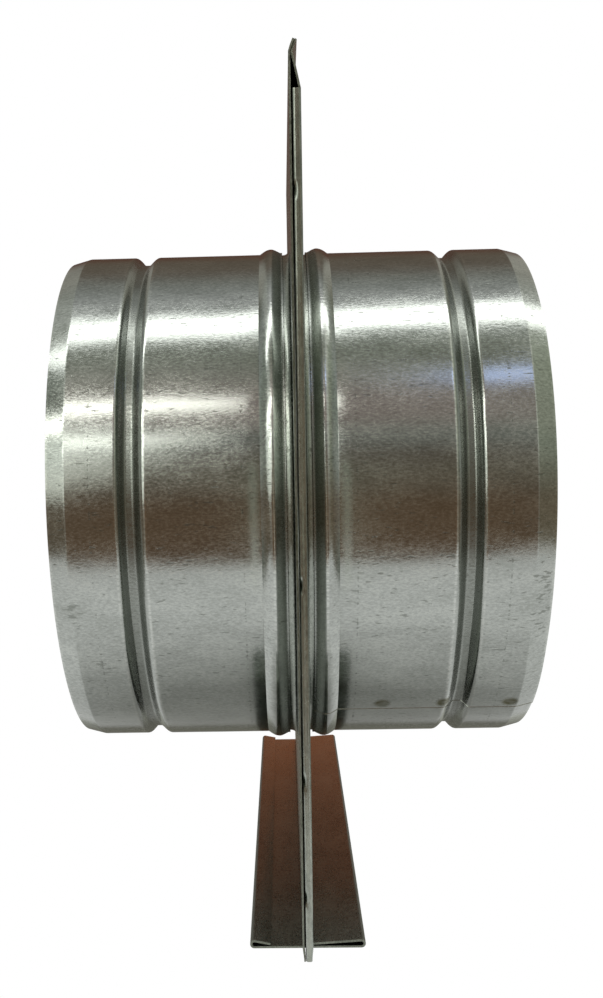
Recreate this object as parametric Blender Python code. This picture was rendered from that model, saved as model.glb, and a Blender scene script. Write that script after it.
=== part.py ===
"""Round duct damper: a sheet-steel slide gate between two rolled spigots.

The duct runs along X. The flat casing stands in the YZ plane and the gate slides in it along Z:
fully in, it shuts the bore, and its T-handle closes the notch at the foot of the casing. The
origin is on the duct's axis, midway between the two casing sheets. Lengths are in metres.
"""

import math

import bmesh
import bpy
from mathutils import Vector

MM = 0.001

# Spigots: thin tube with a tapered mouth, a rolled-in groove and a rolled-out bead
DUCT_RADIUS = 79.5 * MM          # outside of the plain tube, for a 160 mm duct
TUBE_WALL = 0.5 * MM
MOUTH_X = 70.4 * MM              # end of the spigot, from the casing's middle
LEAD_IN_LENGTH = 5.3 * MM
LEAD_IN_DROP = 1.4 * MM
GROOVE_FROM_MOUTH = 22.9 * MM
GROOVE_DEPTH = 2.4 * MM
GROOVE_MOUTH_SIDE = 3.7 * MM     # from the groove's floor to its edge nearer the mouth
GROOVE_BEAD_SIDE = 4.6 * MM
BEAD_FROM_END = 3.6 * MM         # from the tube's inner end to the top of the bead
BEAD_HEIGHT = 1.6 * MM
BEAD_MOUTH_SIDE = 3.4 * MM
BEAD_CASING_SIDE = 3.0 * MM
TUBE_FLARE = 0.5 * MM            # the tube's inner end opens a little over the casing's fillet
TUBE_END_GAP = 2.2 * MM          # from the casing's face to the tube's inner end
LAP_EDGE_ANGLE = {"left": 310.0, "right": 230.0}   # degrees about +X from +Y, where the lap ends
FACETS = 48

# Casing: a flat sheet and a sheet whose side edges are folded into channels
CASING_SIDE_MARGIN = 22.0 * MM   # from the tube to the casing's side edge
CASING_END_MARGIN = 39.0 * MM    # from the tube to its top edge and to its foot
SHEET = 0.5 * MM
SEAT_GAP = 0.3 * MM              # between pieces that touch
BEND_INSIDE_RADIUS = 0.2 * MM
LIP_WIDTH = 8.0 * MM
FLAT_EDGE_INSET = 0.2 * MM       # the flat sheet's raw edge lies this far inside the channel's web
TOP_SEAM_HEIGHT = 11.3 * MM      # the folds stop this far below the top edge, and the sheets close
CLOSING_LENGTH = 8.4 * MM        # together in this part of it
SEAM_LEAN = 1.1 * MM             # the closed top edge leans towards the folded sheet
RAIL_END_WIDTH = 2.9 * MM        # what the notch for the handle leaves of each rail's foot
RAIL_END_LENGTH = 4.6 * MM
RAIL_PINCH = 0.6 * MM            # how much nearer the channel's two sides come at the very foot
CRIMPS_BELOW_TOP = (23.6 * MM,)  # from the top of the folds
CRIMPS_ABOVE_FOOT = (13.7 * MM, 46.5 * MM, 99.2 * MM)    # from the notch
CRIMP_DEPTH = 0.7 * MM
CRIMP_HALF_LENGTH = 2.8 * MM
FILLET_RADIUS = 1.9 * MM         # where the sheet is drawn out into the neck under the tube
NECK_BEYOND_BEAD = 1.2 * MM

# Gate: one sheet, cut with two ears at its top and folded into the T-handle at its foot
GATE_SHEET = 0.6 * MM
GATE_FACE_CLEARANCE = 0.3 * MM   # on each side of the gate in its channels
GATE_TOP_CLEARANCE = 3.2 * MM    # from the shut gate to the top of the folds
GATE_SIDE_CLEARANCE = 0.4 * MM   # from each ear to the channel's web
NOTCH_CLEARANCE = 0.4 * MM       # from the gate's narrow part to the rail's foot
OPEN_OVERRUN = 1.5 * MM          # how far the open gate's top edge stands below the bore
STOP_CLEARANCE = 0.3 * MM
EAR_CHAMFER = 2.0 * MM
HANDLE_HALF_WIDTH = 15.9 * MM
HANDLE_LAYER_GAP = 0.3 * MM      # between the folded layers beside the gate
HANDLE_LOOP_OPENING = 1.2 * MM   # inside the two rounded ends
HANDLE_BEND_INSIDE = 0.3 * MM
HEM_WIDTH = 5.6 * MM

# Sizes that follow from the ones above
casingHalfWidth = DUCT_RADIUS + CASING_SIDE_MARGIN
casingHalfHeight = DUCT_RADIUS + CASING_END_MARGIN
casingHalfThickness = (3 * SHEET + SEAT_GAP + GATE_SHEET + 2 * GATE_FACE_CLEARANCE) / 2
tubeEnd = casingHalfThickness + TUBE_END_GAP
beadMiddle = tubeEnd + BEAD_FROM_END
grooveMiddle = MOUTH_X - GROOVE_FROM_MOUTH
bendRadius = BEND_INSIDE_RADIUS + SHEET / 2
handleBendRadius = HANDLE_BEND_INSIDE + GATE_SHEET / 2
sheetMiddle = casingHalfThickness - SHEET / 2
lipMiddle = -casingHalfThickness + SHEET + SEAT_GAP + SHEET / 2
channelFace = casingHalfThickness - SHEET
lipFace = lipMiddle + SHEET / 2
gateMiddle = (channelFace + lipFace) / 2
channelTop = casingHalfHeight - TOP_SEAM_HEIGHT
gateTop = channelTop - GATE_TOP_CLEARANCE
notchHeight = -casingHalfHeight + RAIL_END_LENGTH
crimpHeights = [channelTop - below for below in CRIMPS_BELOW_TOP]
crimpHeights += [notchHeight + above for above in CRIMPS_ABOVE_FOOT]
notchHalfWidth = casingHalfWidth - RAIL_END_WIDTH
gateHalfWidth = notchHalfWidth - NOTCH_CLEARANCE
earHalfWidth = casingHalfWidth - SHEET - GATE_SIDE_CLEARANCE
gateTravel = gateTop + DUCT_RADIUS + OPEN_OVERRUN
earFoot = gateTravel + notchHeight + STOP_CLEARANCE


def rolledRadius(x):
    """Middle of the tube's wall at a distance from the casing's middle."""
    def swell(centre, lower, upper, height):
        reach = upper if x > centre else lower
        share = abs(x - centre) / reach
        return height * 0.5 * (1 + math.cos(math.pi * share)) if share < 1 else 0.0

    radius = DUCT_RADIUS - TUBE_WALL / 2
    radius -= swell(grooveMiddle, GROOVE_BEAD_SIDE, GROOVE_MOUTH_SIDE, GROOVE_DEPTH)
    radius += swell(beadMiddle, BEAD_CASING_SIDE, BEAD_MOUTH_SIDE, BEAD_HEIGHT)
    leadIn = max(0.0, x - (MOUTH_X - LEAD_IN_LENGTH)) / LEAD_IN_LENGTH
    flare = max(0.0, 1 - (x - tubeEnd) / (beadMiddle - tubeEnd))
    return radius - LEAD_IN_DROP * leadIn + TUBE_FLARE * flare


def steps(start, stop, count):
    return [start + (stop - start) * i / count for i in range(count + 1)]


def tubeStations():
    """Distances along the spigot where its rolled profile needs a point."""
    stations = steps(tubeEnd, beadMiddle, 3)
    stations += steps(beadMiddle, beadMiddle + BEAD_MOUTH_SIDE, 3)[1:]
    stations += steps(grooveMiddle - GROOVE_BEAD_SIDE, grooveMiddle, 4)
    stations += steps(grooveMiddle, grooveMiddle + GROOVE_MOUTH_SIDE, 3)[1:]
    return stations + [MOUTH_X - LEAD_IN_LENGTH, MOUTH_X]


def offsetProfile(points, distance):
    """Moves an open polyline of (x, radius) points outwards, square to itself."""
    moved = []
    for i, point in enumerate(points):
        before = points[max(i - 1, 0)]
        after = points[min(i + 1, len(points) - 1)]
        along = Vector((after[0] - before[0], after[1] - before[1])).normalized()
        moved.append((point[0] - along.y * distance, point[1] + along.x * distance))
    return moved


def onCircle(x, radius, degrees):
    angle = math.radians(degrees)
    return Vector((x, radius * math.cos(angle), radius * math.sin(angle)))


def steel(name, colour, roughness):
    material = bpy.data.materials.new(name)
    material.use_nodes = True
    shader = material.node_tree.nodes["Principled BSDF"]
    shader.inputs["Base Color"].default_value = (*colour, 1.0)
    shader.inputs["Metallic"].default_value = 1.0
    shader.inputs["Roughness"].default_value = roughness
    return material


def addPiece(name, bm, material, location=(0, 0, 0)):
    mesh = bpy.data.meshes.new(name)
    bm.to_mesh(mesh)
    bm.free()
    mesh.materials.append(material)
    mesh.shade_smooth()
    mesh.set_sharp_from_angle(angle=math.radians(35))
    piece = bpy.data.objects.new(name, mesh)
    piece.location = location
    bpy.context.scene.collection.objects.link(piece)
    return piece


def thicken(piece, thickness):
    """Gives a sheet's middle surface its gauge, half to each side."""
    solidify = piece.modifiers.new("gauge", "SOLIDIFY")
    solidify.thickness = thickness
    solidify.offset = 0.0
    solidify.use_even_offset = True
    solidify.use_quality_normals = True


def lapOffsets(degrees, edge):
    """How far the outer and the inner face stand out near the spigot's lap seam."""
    lap = 360 / FACETS
    behind = (edge - degrees) % 360
    if behind < lap * 1.001:
        return TUBE_WALL, 0.0
    rise = max(0.0, 1 - (behind - lap) / (2 * lap))
    return TUBE_WALL * rise, TUBE_WALL * rise


def makeSpigot(name, side, material):
    """Lofts the rolled profile round the duct's axis, with the lap where its two ends meet."""
    middle = [(x, rolledRadius(x)) for x in tubeStations()]
    outer = offsetProfile(middle, TUBE_WALL / 2)
    inner = offsetProfile(middle, -TUBE_WALL / 2)
    for face in (outer, inner):
        face[0] = (tubeEnd, face[0][1])
        face[-1] = (MOUTH_X, face[-1][1])
    direction = -1 if side == "left" else 1
    edge = LAP_EDGE_ANGLE[side]
    sliver = math.degrees(0.15 * MM / DUCT_RADIUS)
    lap = 360 / FACETS
    sections = []
    for i in range(FACETS):
        degrees = edge + i * lap
        outOffset, inOffset = lapOffsets(degrees, edge)
        if i == 0:
            sections.append((degrees, TUBE_WALL, 0.0))
            sections.append((degrees + sliver, 0.0, 0.0))
        elif i == FACETS - 1:
            sections.append((degrees - sliver, TUBE_WALL, TUBE_WALL))
            sections.append((degrees, TUBE_WALL, 0.0))
        else:
            sections.append((degrees, outOffset, inOffset))
    bm = bmesh.new()
    loops = []
    for degrees, outOffset, inOffset in sections:
        ring = [onCircle(direction * x, r + outOffset, degrees) for x, r in outer]
        ring += [onCircle(direction * x, r + inOffset, degrees) for x, r in reversed(inner)]
        loops.append([bm.verts.new(point) for point in ring])
    for here, there in zip(loops, loops[1:] + loops[:1]):
        for i, vert in enumerate(here):
            j = (i + 1) % len(here)
            bm.faces.new((vert, here[j], there[j], there[i]))
    bmesh.ops.recalc_face_normals(bm, faces=bm.faces)
    return addPiece(name, bm, material)


def addLoop(bm, points):
    """A closed loop of new vertices and the edges between them."""
    verts = [bm.verts.new(point) for point in points]
    edges = [bm.edges.new(pair) for pair in zip(verts, verts[1:] + verts[:1])]
    return verts, edges


def extrudeTo(bm, edges, move):
    """Extrudes a chain of edges and places each new vertex by what move says of its old one."""
    made = bmesh.ops.extrude_edge_only(bm, edges=edges)["geom"]
    for vert in (item for item in made if isinstance(item, bmesh.types.BMVert)):
        vert.co = move(vert.co)
    return [item for item in made if isinstance(item, bmesh.types.BMEdge)
            and not any(vert in edge.verts for edge in edges for vert in item.verts)]


def drawNeck(bm, holeEdges, plane, direction):
    """Draws the sheet round the hole out into a neck that lies inside the spigot's rolled end."""
    neckEnd = beadMiddle + BEAD_MOUTH_SIDE + NECK_BEYOND_BEAD
    reach = [x for x in tubeStations() if x < neckEnd] + [neckEnd]
    under = offsetProfile([(x, rolledRadius(x)) for x in reach], -(TUBE_WALL / 2 + SEAT_GAP + SHEET / 2))
    first = Vector(under[0])
    corner = Vector((plane, first.y + FILLET_RADIUS))
    fillet = [corner.lerp(first, share) for share in (0.3, 0.65)]
    fillet = [point - Vector((0.25, 0.35)) * FILLET_RADIUS * 0.35 for point in fillet]
    for x, radius in [tuple(point) for point in fillet] + under:
        def toRing(co, x=x, radius=radius):
            scale = radius / math.hypot(co.y, co.z)
            return Vector((direction * x, co.y * scale, co.z * scale))
        holeEdges = extrudeTo(bm, holeEdges, toRing)


def holeRing(plane):
    radius = rolledRadius(tubeEnd) - (TUBE_WALL / 2 + SEAT_GAP + SHEET / 2) + FILLET_RADIUS
    return radius, [i * 360 / FACETS for i in range(FACETS)]


def fillBlank(bm, plane, outline, direction):
    """The flat part of a casing sheet: its outline with the round hole, and the neck at the hole."""
    outer = addLoop(bm, [Vector((direction * plane, y, z)) for y, z in outline])[1]
    radius, angles = holeRing(plane)
    offset = LAP_EDGE_ANGLE["left" if direction < 0 else "right"]
    hole = addLoop(bm, [onCircle(direction * plane, radius, offset + a) for a in angles])[1]
    bmesh.ops.triangle_fill(bm, use_beauty=True, edges=outer + hole)
    drawNeck(bm, hole, plane, direction)


def edgesWhere(bm, test):
    return [edge for edge in bm.edges if edge.is_boundary and all(test(vert.co) for vert in edge.verts)]


def near(value, target):
    return abs(value - target) < 0.01 * MM


def closeTop(bm, rows):
    """Carries the sheet's upper edge on through the rows, each a height and the sheet's x there."""
    start = max(vert.co.z for vert in bm.verts)
    edges = edgesWhere(bm, lambda co: near(co.z, start))
    for height, x in rows:
        edges = extrudeTo(bm, edges, lambda co, x=x, z=height: Vector((x, co.y, z)))


def railFeet(bm, squeeze):
    """Carries the rails on past the notch and brings their sides together."""
    for side in (-1, 1):
        edges = edgesWhere(bm, lambda co: near(co.z, notchHeight)
                           and side * co.y > notchHalfWidth - 0.01 * MM)
        extrudeTo(bm, edges, lambda co: Vector((squeeze(co.x), co.y, -casingHalfHeight)))


def makeFlatSheet(name, material):
    """The casing's plain side: flat, drawn out at the hole, bent over along its upper edge."""
    edge = casingHalfWidth - FLAT_EDGE_INSET
    bendHeight = channelTop + CLOSING_LENGTH
    outline = [(-notchHalfWidth, notchHeight), (notchHalfWidth, notchHeight), (edge, notchHeight),
               (edge, bendHeight), (-edge, bendHeight), (-edge, notchHeight)]
    bm = bmesh.new()
    fillBlank(bm, sheetMiddle, outline, -1)
    closeTop(bm, [(casingHalfHeight, -sheetMiddle + SEAM_LEAN)])
    railFeet(bm, lambda x: x + RAIL_PINCH / 3)
    piece = addPiece(name, bm, material)
    thicken(piece, SHEET)
    return piece


def crimp(co):
    """Presses the channel's corner in at each crimp, beside the flat sheet's raw edge."""
    closeness = max(0.0, max(1 - abs(co.z - height) / CRIMP_HALF_LENGTH for height in crimpHeights))
    share = min(1.0, max(0.0, (lipMiddle + bendRadius - co.x) / bendRadius))
    inward = math.copysign(CRIMP_DEPTH * closeness * share, co.y)
    return Vector((co.x, co.y - inward, co.z))


def foldChannel(bm, edges, side):
    """Folds a side edge over twice: round into the web, then round into the lip."""
    web = casingHalfWidth - SHEET / 2
    flat = web - bendRadius
    path = []
    for degrees in (45, 90):
        turn = math.radians(degrees)
        path.append((sheetMiddle - bendRadius * (1 - math.cos(turn)), flat + bendRadius * math.sin(turn)))
    for degrees in (0, 45, 90):
        turn = math.radians(degrees)
        path.append((lipMiddle + bendRadius * (1 - math.sin(turn)), flat + bendRadius * math.cos(turn)))
    path += [(lipMiddle, notchHalfWidth), (lipMiddle, casingHalfWidth - LIP_WIDTH)]
    for x, y in path:
        corner = y > notchHalfWidth + 0.01 * MM

        def place(co, x=x, y=y, corner=corner):
            moved = Vector((x, side * y, co.z))
            return crimp(moved) if corner else moved
        edges = extrudeTo(bm, edges, place)


def makeChannelSheet(name, material):
    """The casing's folded side: it makes both rails, and closes onto the flat sheet at the top."""
    edge = casingHalfWidth - SHEET / 2 - bendRadius
    heights = [notchHeight, channelTop]
    for height in crimpHeights:
        heights += [height - CRIMP_HALF_LENGTH, height, height + CRIMP_HALF_LENGTH]
    heights.sort()
    outline = [(-notchHalfWidth, notchHeight), (notchHalfWidth, notchHeight)]
    outline += [(edge, z) for z in heights] + [(-edge, z) for z in reversed(heights)]
    bm = bmesh.new()
    fillBlank(bm, sheetMiddle, outline, 1)
    for side in (-1, 1):
        foldChannel(bm, edgesWhere(bm, lambda co, side=side: near(co.y, side * edge)), side)
    against = -sheetMiddle + SHEET + SEAT_GAP
    top = edgesWhere(bm, lambda co: near(co.z, channelTop) and near(co.x, sheetMiddle)
                     and abs(co.y) < edge + 0.01 * MM)
    for height, x in ((channelTop + CLOSING_LENGTH, against), (casingHalfHeight, against + SEAM_LEAN)):
        top = extrudeTo(bm, top, lambda co, x=x, z=height: Vector((x, co.y, z)))
    lipFoot = lipMiddle + RAIL_PINCH / 3
    narrowing = (sheetMiddle - lipMiddle - RAIL_PINCH) / (sheetMiddle - lipMiddle)
    railFeet(bm, lambda x: lipFoot + (x - lipMiddle) * narrowing)
    piece = addPiece(name, bm, material)
    thicken(piece, SHEET)
    return piece


def arc(centre, radius, start, stop, count):
    turns = [math.radians(a) for a in steps(start, stop, count)]
    return [(centre[0] + radius * math.cos(t), centre[1] + radius * math.sin(t)) for t in turns]


def gateProfile():
    """Middle of the gate's sheet in XZ, from the gate's foot down and round the T-handle.

    It turns right under the folded casing sheet, doubles back underneath across the whole handle
    and ends in a short hem on the left.
    """
    bend = (handleBendRadius, notchHeight - SEAT_GAP)
    profile = arc(bend, handleBendRadius, 180, 270, 3)
    upper = profile[-1][1]
    lower = upper - GATE_SHEET - HANDLE_LAYER_GAP
    loopTop = lower + GATE_SHEET + HANDLE_LOOP_OPENING
    radius = (loopTop - lower) / 2
    end = HANDLE_HALF_WIDTH - gateMiddle - GATE_SHEET / 2 - radius
    profile += arc((end, lower + radius), radius, 90, -90, 5)
    end = -HANDLE_HALF_WIDTH - gateMiddle + GATE_SHEET / 2 + radius
    profile += arc((end, lower + radius), radius, 270, 90, 5)
    hemEnd = -HANDLE_HALF_WIDTH - gateMiddle + HEM_WIDTH
    return profile + [(hemEnd, upper)]


def makeGate(name, material):
    """The sliding blade with its ears and T-handle, one folded sheet."""
    bm = bmesh.new()
    top = [bm.verts.new((0, y, gateTop)) for y in (-gateHalfWidth, gateHalfWidth)]
    ears = [bm.verts.new((0, y, earFoot)) for y in (-gateHalfWidth, gateHalfWidth)]
    bm.faces.new((top[0], top[1], ears[1], ears[0]))
    for k, side in enumerate((-1, 1)):
        outline = [(side * (earHalfWidth - EAR_CHAMFER * 0.5), gateTop),
                   (side * earHalfWidth, gateTop - EAR_CHAMFER), (side * earHalfWidth, earFoot)]
        ring = [top[k]] + [bm.verts.new((0, y, z)) for y, z in outline] + [ears[k]]
        bm.faces.new(ring if side > 0 else reversed(ring))
    edges = [bm.edges.get(ears)]
    for x, z in gateProfile():
        edges = extrudeTo(bm, edges, lambda co, x=x, z=z: Vector((x, co.y, z)))
    bmesh.ops.recalc_face_normals(bm, faces=bm.faces)
    piece = addPiece(name, bm, material, (gateMiddle, 0, 0))
    thicken(piece, GATE_SHEET)
    return piece


for old in list(bpy.data.objects):
    bpy.data.objects.remove(old, do_unlink=True)

tubeSteel = steel("galvanised_tube", (0.47, 0.48, 0.46), 0.30)
casingSteel = steel("galvanised_sheet", (0.33, 0.34, 0.31), 0.38)
gateSteel = steel("galvanised_gate", (0.30, 0.29, 0.26), 0.32)

makeSpigot("spigot_left", "left", tubeSteel)
makeSpigot("spigot_right", "right", tubeSteel)
makeFlatSheet("casing_flat_sheet", casingSteel)
makeChannelSheet("casing_channel_sheet", casingSteel)
makeGate("slide_gate", gateSteel)
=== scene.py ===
import math

import bmesh
import bpy
from mathutils import Matrix, Vector, noise


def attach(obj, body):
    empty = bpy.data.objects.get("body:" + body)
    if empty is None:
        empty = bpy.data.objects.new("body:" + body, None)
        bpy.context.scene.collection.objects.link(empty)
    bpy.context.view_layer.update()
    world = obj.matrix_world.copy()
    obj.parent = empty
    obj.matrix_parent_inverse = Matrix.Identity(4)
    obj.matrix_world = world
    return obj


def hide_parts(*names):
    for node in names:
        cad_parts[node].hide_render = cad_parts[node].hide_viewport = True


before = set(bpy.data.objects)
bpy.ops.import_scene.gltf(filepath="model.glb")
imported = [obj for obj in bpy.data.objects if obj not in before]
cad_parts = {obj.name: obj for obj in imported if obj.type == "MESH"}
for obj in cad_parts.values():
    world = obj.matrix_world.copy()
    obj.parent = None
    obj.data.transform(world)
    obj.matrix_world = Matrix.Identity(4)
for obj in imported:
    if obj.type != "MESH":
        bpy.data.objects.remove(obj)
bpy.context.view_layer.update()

print("frame loaded:", ", ".join(sorted(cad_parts)))

# everything below is drawn in millimetres and scaled once, when a vertex is made
mm = 0.001
snap = 0.01                   # points nearer than this are at the same place
creaseAngle = 38              # degrees; metal folded sharper than this shows a crisp crease


def spread(start, stop, count):
    return [start + (stop - start) * i / count for i in range(count + 1)]


def easeBetween(value, start, stop):
    share = min(1.0, max(0.0, (value - start) / (stop - start)))
    return share * share * (3 - 2 * share)


def arcPoints(centre, radius, start, stop, count):
    turns = [math.radians(a) for a in spread(start, stop, count)]
    return [(centre[0] + radius * math.cos(t), centre[1] + radius * math.sin(t)) for t in turns]


def offsetLine(points, distance):
    # moves an open line of (x, radius) points outwards, square to itself
    moved = []
    for i, point in enumerate(points):
        before, after = points[max(i - 1, 0)], points[min(i + 1, len(points) - 1)]
        along = Vector((after[0] - before[0], after[1] - before[1])).normalized()
        moved.append((point[0] - along.y * distance, point[1] + along.x * distance))
    return moved


def addVert(bm, x, y, z):
    return bm.verts.new((x * mm, y * mm, z * mm))


def joinRings(bm, ring, nextRing, closed=True):
    count = len(ring) if closed else len(ring) - 1
    made = []
    for i in range(count):
        j = (i + 1) % len(ring)
        made.append(bm.faces.new((ring[i], ring[j], nextRing[j], nextRing[i])))
    return made


def finishPiece(name, bm, body, node, materials, gauge=0.0):
    # turns the mesh into a piece that stands for its CAD node and moves with the same body
    bmesh.ops.recalc_face_normals(bm, faces=bm.faces)
    mesh = bpy.data.meshes.new(name)
    bm.to_mesh(mesh)
    bm.free()
    for material in materials:
        mesh.materials.append(material)
    mesh.shade_smooth()
    piece = bpy.data.objects.new(name, mesh)
    bpy.context.scene.collection.objects.link(piece)
    if gauge:
        # the drawn surface is the middle of the sheet; its rim is the sheared edge
        solid = piece.modifiers.new("gauge", "SOLIDIFY")
        solid.thickness = gauge * mm
        solid.offset = 0.0
        solid.use_even_offset = True
        solid.use_quality_normals = True
        solid.material_offset_rim = 1
    split = piece.modifiers.new("edges", "EDGE_SPLIT")
    split.split_angle = math.radians(creaseAngle)
    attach(piece, body)
    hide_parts(node)


# finishes

# what all sheets share; each cover is how much of a mark shows where it is thinnest and thickest
zinc = {
    "noiseRoughness": 0.6,
    "usualNoise": (0.4, 0.6),       # where most of a noise's values lie
    "wideNoise": (0.35, 0.65),
    "grainShare": 0.65,             # the rest of the tone comes from the clouds
    "toneStops": (0.38, 0.5, 0.62),
    "dashFade": 0.06,
    "lineDashes": 0.12,             # how much more easily dashes show on a roller line and a scuff
    "scuffDashes": 0.21,
    "rubbedCover": (0.1, 0.6),
    # how much grime and painted shade shows in the recesses
    "grimeAndShadeCover": (0.4, 0.85),
    "burntCover": (0.65, 1.0),
    "burntTone": "#56553b",
    "burntReach": (3.0, 1.7),       # mm from a weld: where the burn ends and where it is full
    "scuffReach": (3.6, 0.5),
    "bandCore": 0.15,               # share of a band's reach where it is full
    "dashRoughness": 0.1,           # what each mark adds to the roughness
    "burntRoughness": 0.14,
    "grimeRoughness": 0.16,
    "rubbedRoughness": -0.06,
}


def fromHex(text):
    # an sRGB hex colour as linear values
    channels = [int(text[i:i + 2], 16) / 255 for i in (1, 3, 5)]
    linear = [c / 12.92 if c <= 0.04045 else ((c + 0.055) / 1.055) ** 2.4 for c in channels]
    return (*linear, 1.0)


def addNode(tree, kind, links=None, **settings):
    made = tree.nodes.new(kind)
    for key, value in settings.items():
        setattr(made, key, value)
    for socket, source in (links or {}).items():
        if isinstance(source, bpy.types.NodeSocket):
            tree.links.new(source, made.inputs[socket])
        else:
            made.inputs[socket].default_value = source
    return made


def setRamp(ramp, tones, low=0.0, high=1.0):
    # tones are (place between low and high, colour) or (place, colour, cover)
    elements = ramp.color_ramp.elements
    while len(elements) > len(tones):
        elements.remove(elements[-1])
    while len(elements) < len(tones):
        elements.new(1.0)
    for element, (place, colour, *cover) in zip(elements, tones):
        element.position = (place - low) / (high - low)
        element.color = (*fromHex(colour)[:3], cover[0] if cover else 1.0)


def newMaterial(name):
    material = bpy.data.materials.new(name)
    material.use_nodes = True
    return material, material.node_tree, material.node_tree.nodes["Principled BSDF"]


def nearBands(tree, parts, bands):
    # 1 on every band of (axis, distance from the middle, reach) in mm, on both sides of the middle
    total = 0.0
    for axis, centre, reach in bands:
        size = addNode(tree, "ShaderNodeMath", {0: parts.outputs[axis]}, operation="ABSOLUTE")
        past = addNode(tree, "ShaderNodeMath", {0: size.outputs[0], 1: centre * mm},
                       operation="SUBTRACT")
        away = addNode(tree, "ShaderNodeMath", {0: past.outputs[0]}, operation="ABSOLUTE")
        near = addNode(tree, "ShaderNodeMapRange", {
            "Value": away.outputs[0],
            "From Min": reach * mm, "From Max": zinc["bandCore"] * reach * mm})
        total = addNode(tree, "ShaderNodeMath", {0: near.outputs[0], 1: total},
                        operation="MAXIMUM").outputs[0]
    return total


def nearSpots(tree, place, spots, reach):
    # 1 at any of the spots, 0 away from them; reach is where it ends and where it is full, in mm
    nearest = 1.0
    for spot in spots:
        away = addNode(tree, "ShaderNodeVectorMath", {0: place, 1: [c * mm for c in spot]},
                       operation="DISTANCE")
        nearest = addNode(tree, "ShaderNodeMath", {0: away.outputs["Value"], 1: nearest},
                          operation="MINIMUM").outputs[0]
    return addNode(tree, "ShaderNodeMapRange", {
        "Value": nearest, "From Min": reach[0] * mm, "From Max": reach[1] * mm}).outputs[0]


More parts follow.
